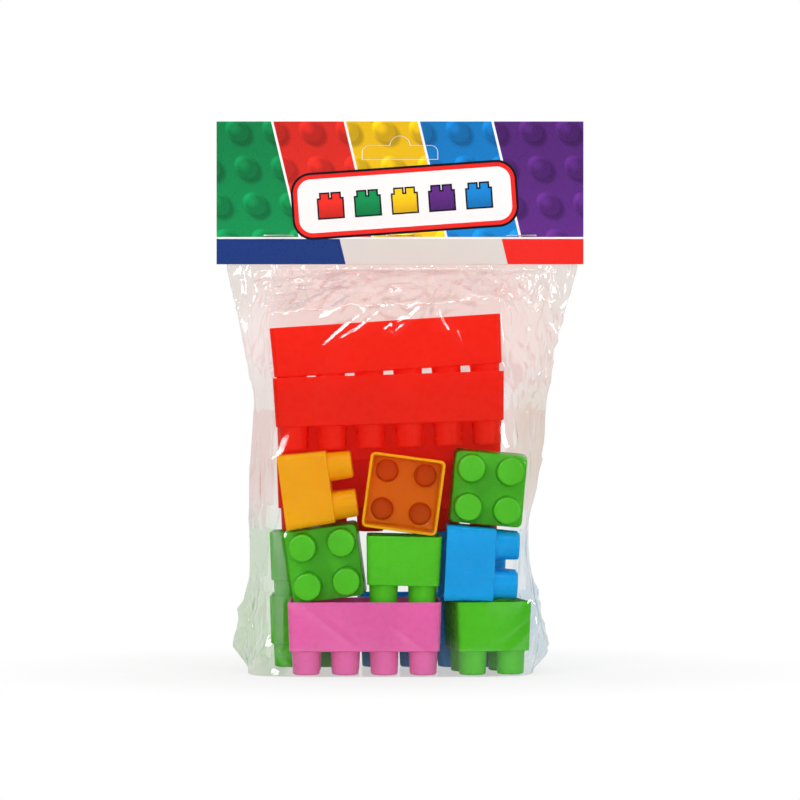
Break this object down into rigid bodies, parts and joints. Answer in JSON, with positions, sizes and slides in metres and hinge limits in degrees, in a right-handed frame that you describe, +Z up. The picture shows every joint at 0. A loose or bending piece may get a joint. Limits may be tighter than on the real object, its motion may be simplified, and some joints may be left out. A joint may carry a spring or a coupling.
{
  "type": "bagged toy building block set",
  "caption": "Studded plastic toy building blocks packed in a clear film bag, closed by a folded, stapled header card with a hang slot and fold-out tabs.",
  "frame": {"origin": "on the floor under the middle of the pack, in the plane of the bag's seams", "axes": "+Z up, +X to the viewer's right, front of the pack facing -Y"},
  "size_m": [0.154, 0.0722, 0.2303],
  "materials": {
    "red_plastic": "glossy moulded plastic",
    "yellow_plastic": "glossy moulded plastic",
    "green_plastic": "glossy moulded plastic",
    "blue_plastic": "glossy moulded plastic",
    "pink_plastic": "glossy moulded plastic",
    "clear_film": "clear soft film with sharp gloss",
    "printed_card": "coated card printed in bright colour panels",
    "staple_wire": "bright drawn wire"
  },
  "bodies": {
    "bag": {"bag_front": "clear_film", "bag_back": "clear_film", "header_card": "printed_card", "staples": "staple_wire"},
    "hang_tab_front": {"hang_tab_front": "printed_card"},
    "hang_tab_back": {"hang_tab_back": "printed_card"},
    "red_beam_upper": {"red_beam_upper": "red_plastic"},
    "red_beam_lower": {"red_beam_lower": "red_plastic"},
    "red_beam_back_lower": {"red_beam_back_lower": "red_plastic"},
    "red_beam_back_upper": {"red_beam_back_upper": "red_plastic"},
    "yellow_block_side": {"yellow_block_side": "yellow_plastic"},
    "yellow_block_open": {"yellow_block_open": "yellow_plastic"},
    "green_block_upper": {"green_block_upper": "green_plastic"},
    "green_block_left": {"green_block_left": "green_plastic"},
    "green_block_middle": {"green_block_middle": "green_plastic"},
    "green_block_corner": {"green_block_corner": "green_plastic"},
    "green_block_back_lower": {"green_block_back_lower": "green_plastic"},
    "green_block_back_upper": {"green_block_back_upper": "green_plastic"},
    "blue_block_side": {"blue_block_side": "blue_plastic"},
    "blue_block_back": {"blue_block_back": "blue_plastic"},
    "blue_brick_back": {"blue_brick_back": "blue_plastic"},
    "pink_brick": {"pink_brick": "pink_plastic"}
  },
  "joints": [
    {"name": "front_tab_fold", "type": "hinge", "parent": "bag", "child": "hang_tab_front", "pos_m": [0, -0.00063, 0.21468], "axis": [1, 0, 0], "range_deg": [0, 60]},
    {"name": "back_tab_fold", "type": "hinge", "parent": "bag", "child": "hang_tab_back", "pos_m": [0, 0.00063, 0.21468], "axis": [-1, 0, 0], "range_deg": [0, 60]},
    {"name": "red_lower_lift", "type": "slide", "parent": "bag", "child": "red_beam_lower", "axis": [0, 0, 1], "range_m": [0, 0.002]},
    {"name": "red_upper_unplug", "type": "slide", "parent": "red_beam_lower", "child": "red_beam_upper", "axis": [-0.0645, 0, 0.9979], "range_m": [0, 0.004]},
    {"name": "red_back_lift", "type": "slide", "parent": "bag", "child": "red_beam_back_lower", "axis": [0, 0, 1], "range_m": [0, 0.003]},
    {"name": "red_back_unplug", "type": "slide", "parent": "red_beam_back_lower", "child": "red_beam_back_upper", "axis": [0, 0, 1], "range_m": [0, 0.004]},
    {"name": "yellow_side_shift", "type": "slide", "parent": "bag", "child": "yellow_block_side", "axis": [-0.991, 0, -0.134], "range_m": [0, 0.0025]},
    {"name": "yellow_open_shift", "type": "slide", "parent": "bag", "child": "yellow_block_open", "axis": [0.9997, 0, -0.0227], "range_m": [-0.0015, 0.0005]},
    {"name": "green_upper_shift", "type": "slide", "parent": "bag", "child": "green_block_upper", "axis": [0, -1, 0], "range_m": [0, 0.0015]},
    {"name": "green_corner_shift", "type": "slide", "parent": "bag", "child": "green_block_corner", "axis": [1, 0, 0], "range_m": [0, 0.002]},
    {"name": "blue_side_shift", "type": "slide", "parent": "bag", "child": "blue_block_side", "axis": [1, 0, 0], "range_m": [0, 0.001]},
    {"name": "pink_shift", "type": "slide", "parent": "bag", "child": "pink_brick", "axis": [-1, 0, 0], "range_m": [0, 0.0015]},
    {"name": "green_left_shift", "type": "slide", "parent": "pink_brick", "child": "green_block_left", "axis": [0, -1, 0], "range_m": [0, 0.001]},
    {"name": "green_middle_plug", "type": "slide", "parent": "pink_brick", "child": "green_block_middle", "axis": [-0.0227, 0, -0.9997], "range_m": [0, 0.004]},
    {"name": "green_back_shift", "type": "slide", "parent": "bag", "child": "green_block_back_lower", "axis": [1, 0, 0], "range_m": [0, 0.004]},
    {"name": "green_back_plug", "type": "slide", "parent": "green_block_back_lower", "child": "green_block_back_upper", "axis": [0, 0, -1], "range_m": [0, 0.006]},
    {"name": "blue_back_shift", "type": "slide", "parent": "bag", "child": "blue_brick_back", "axis": [1, 0, 0], "range_m": [0, 0.004]},
    {"name": "blue_back_plug", "type": "slide", "parent": "blue_brick_back", "child": "blue_block_back", "axis": [0, 0, -1], "range_m": [0, 0.006]}
  ]
}
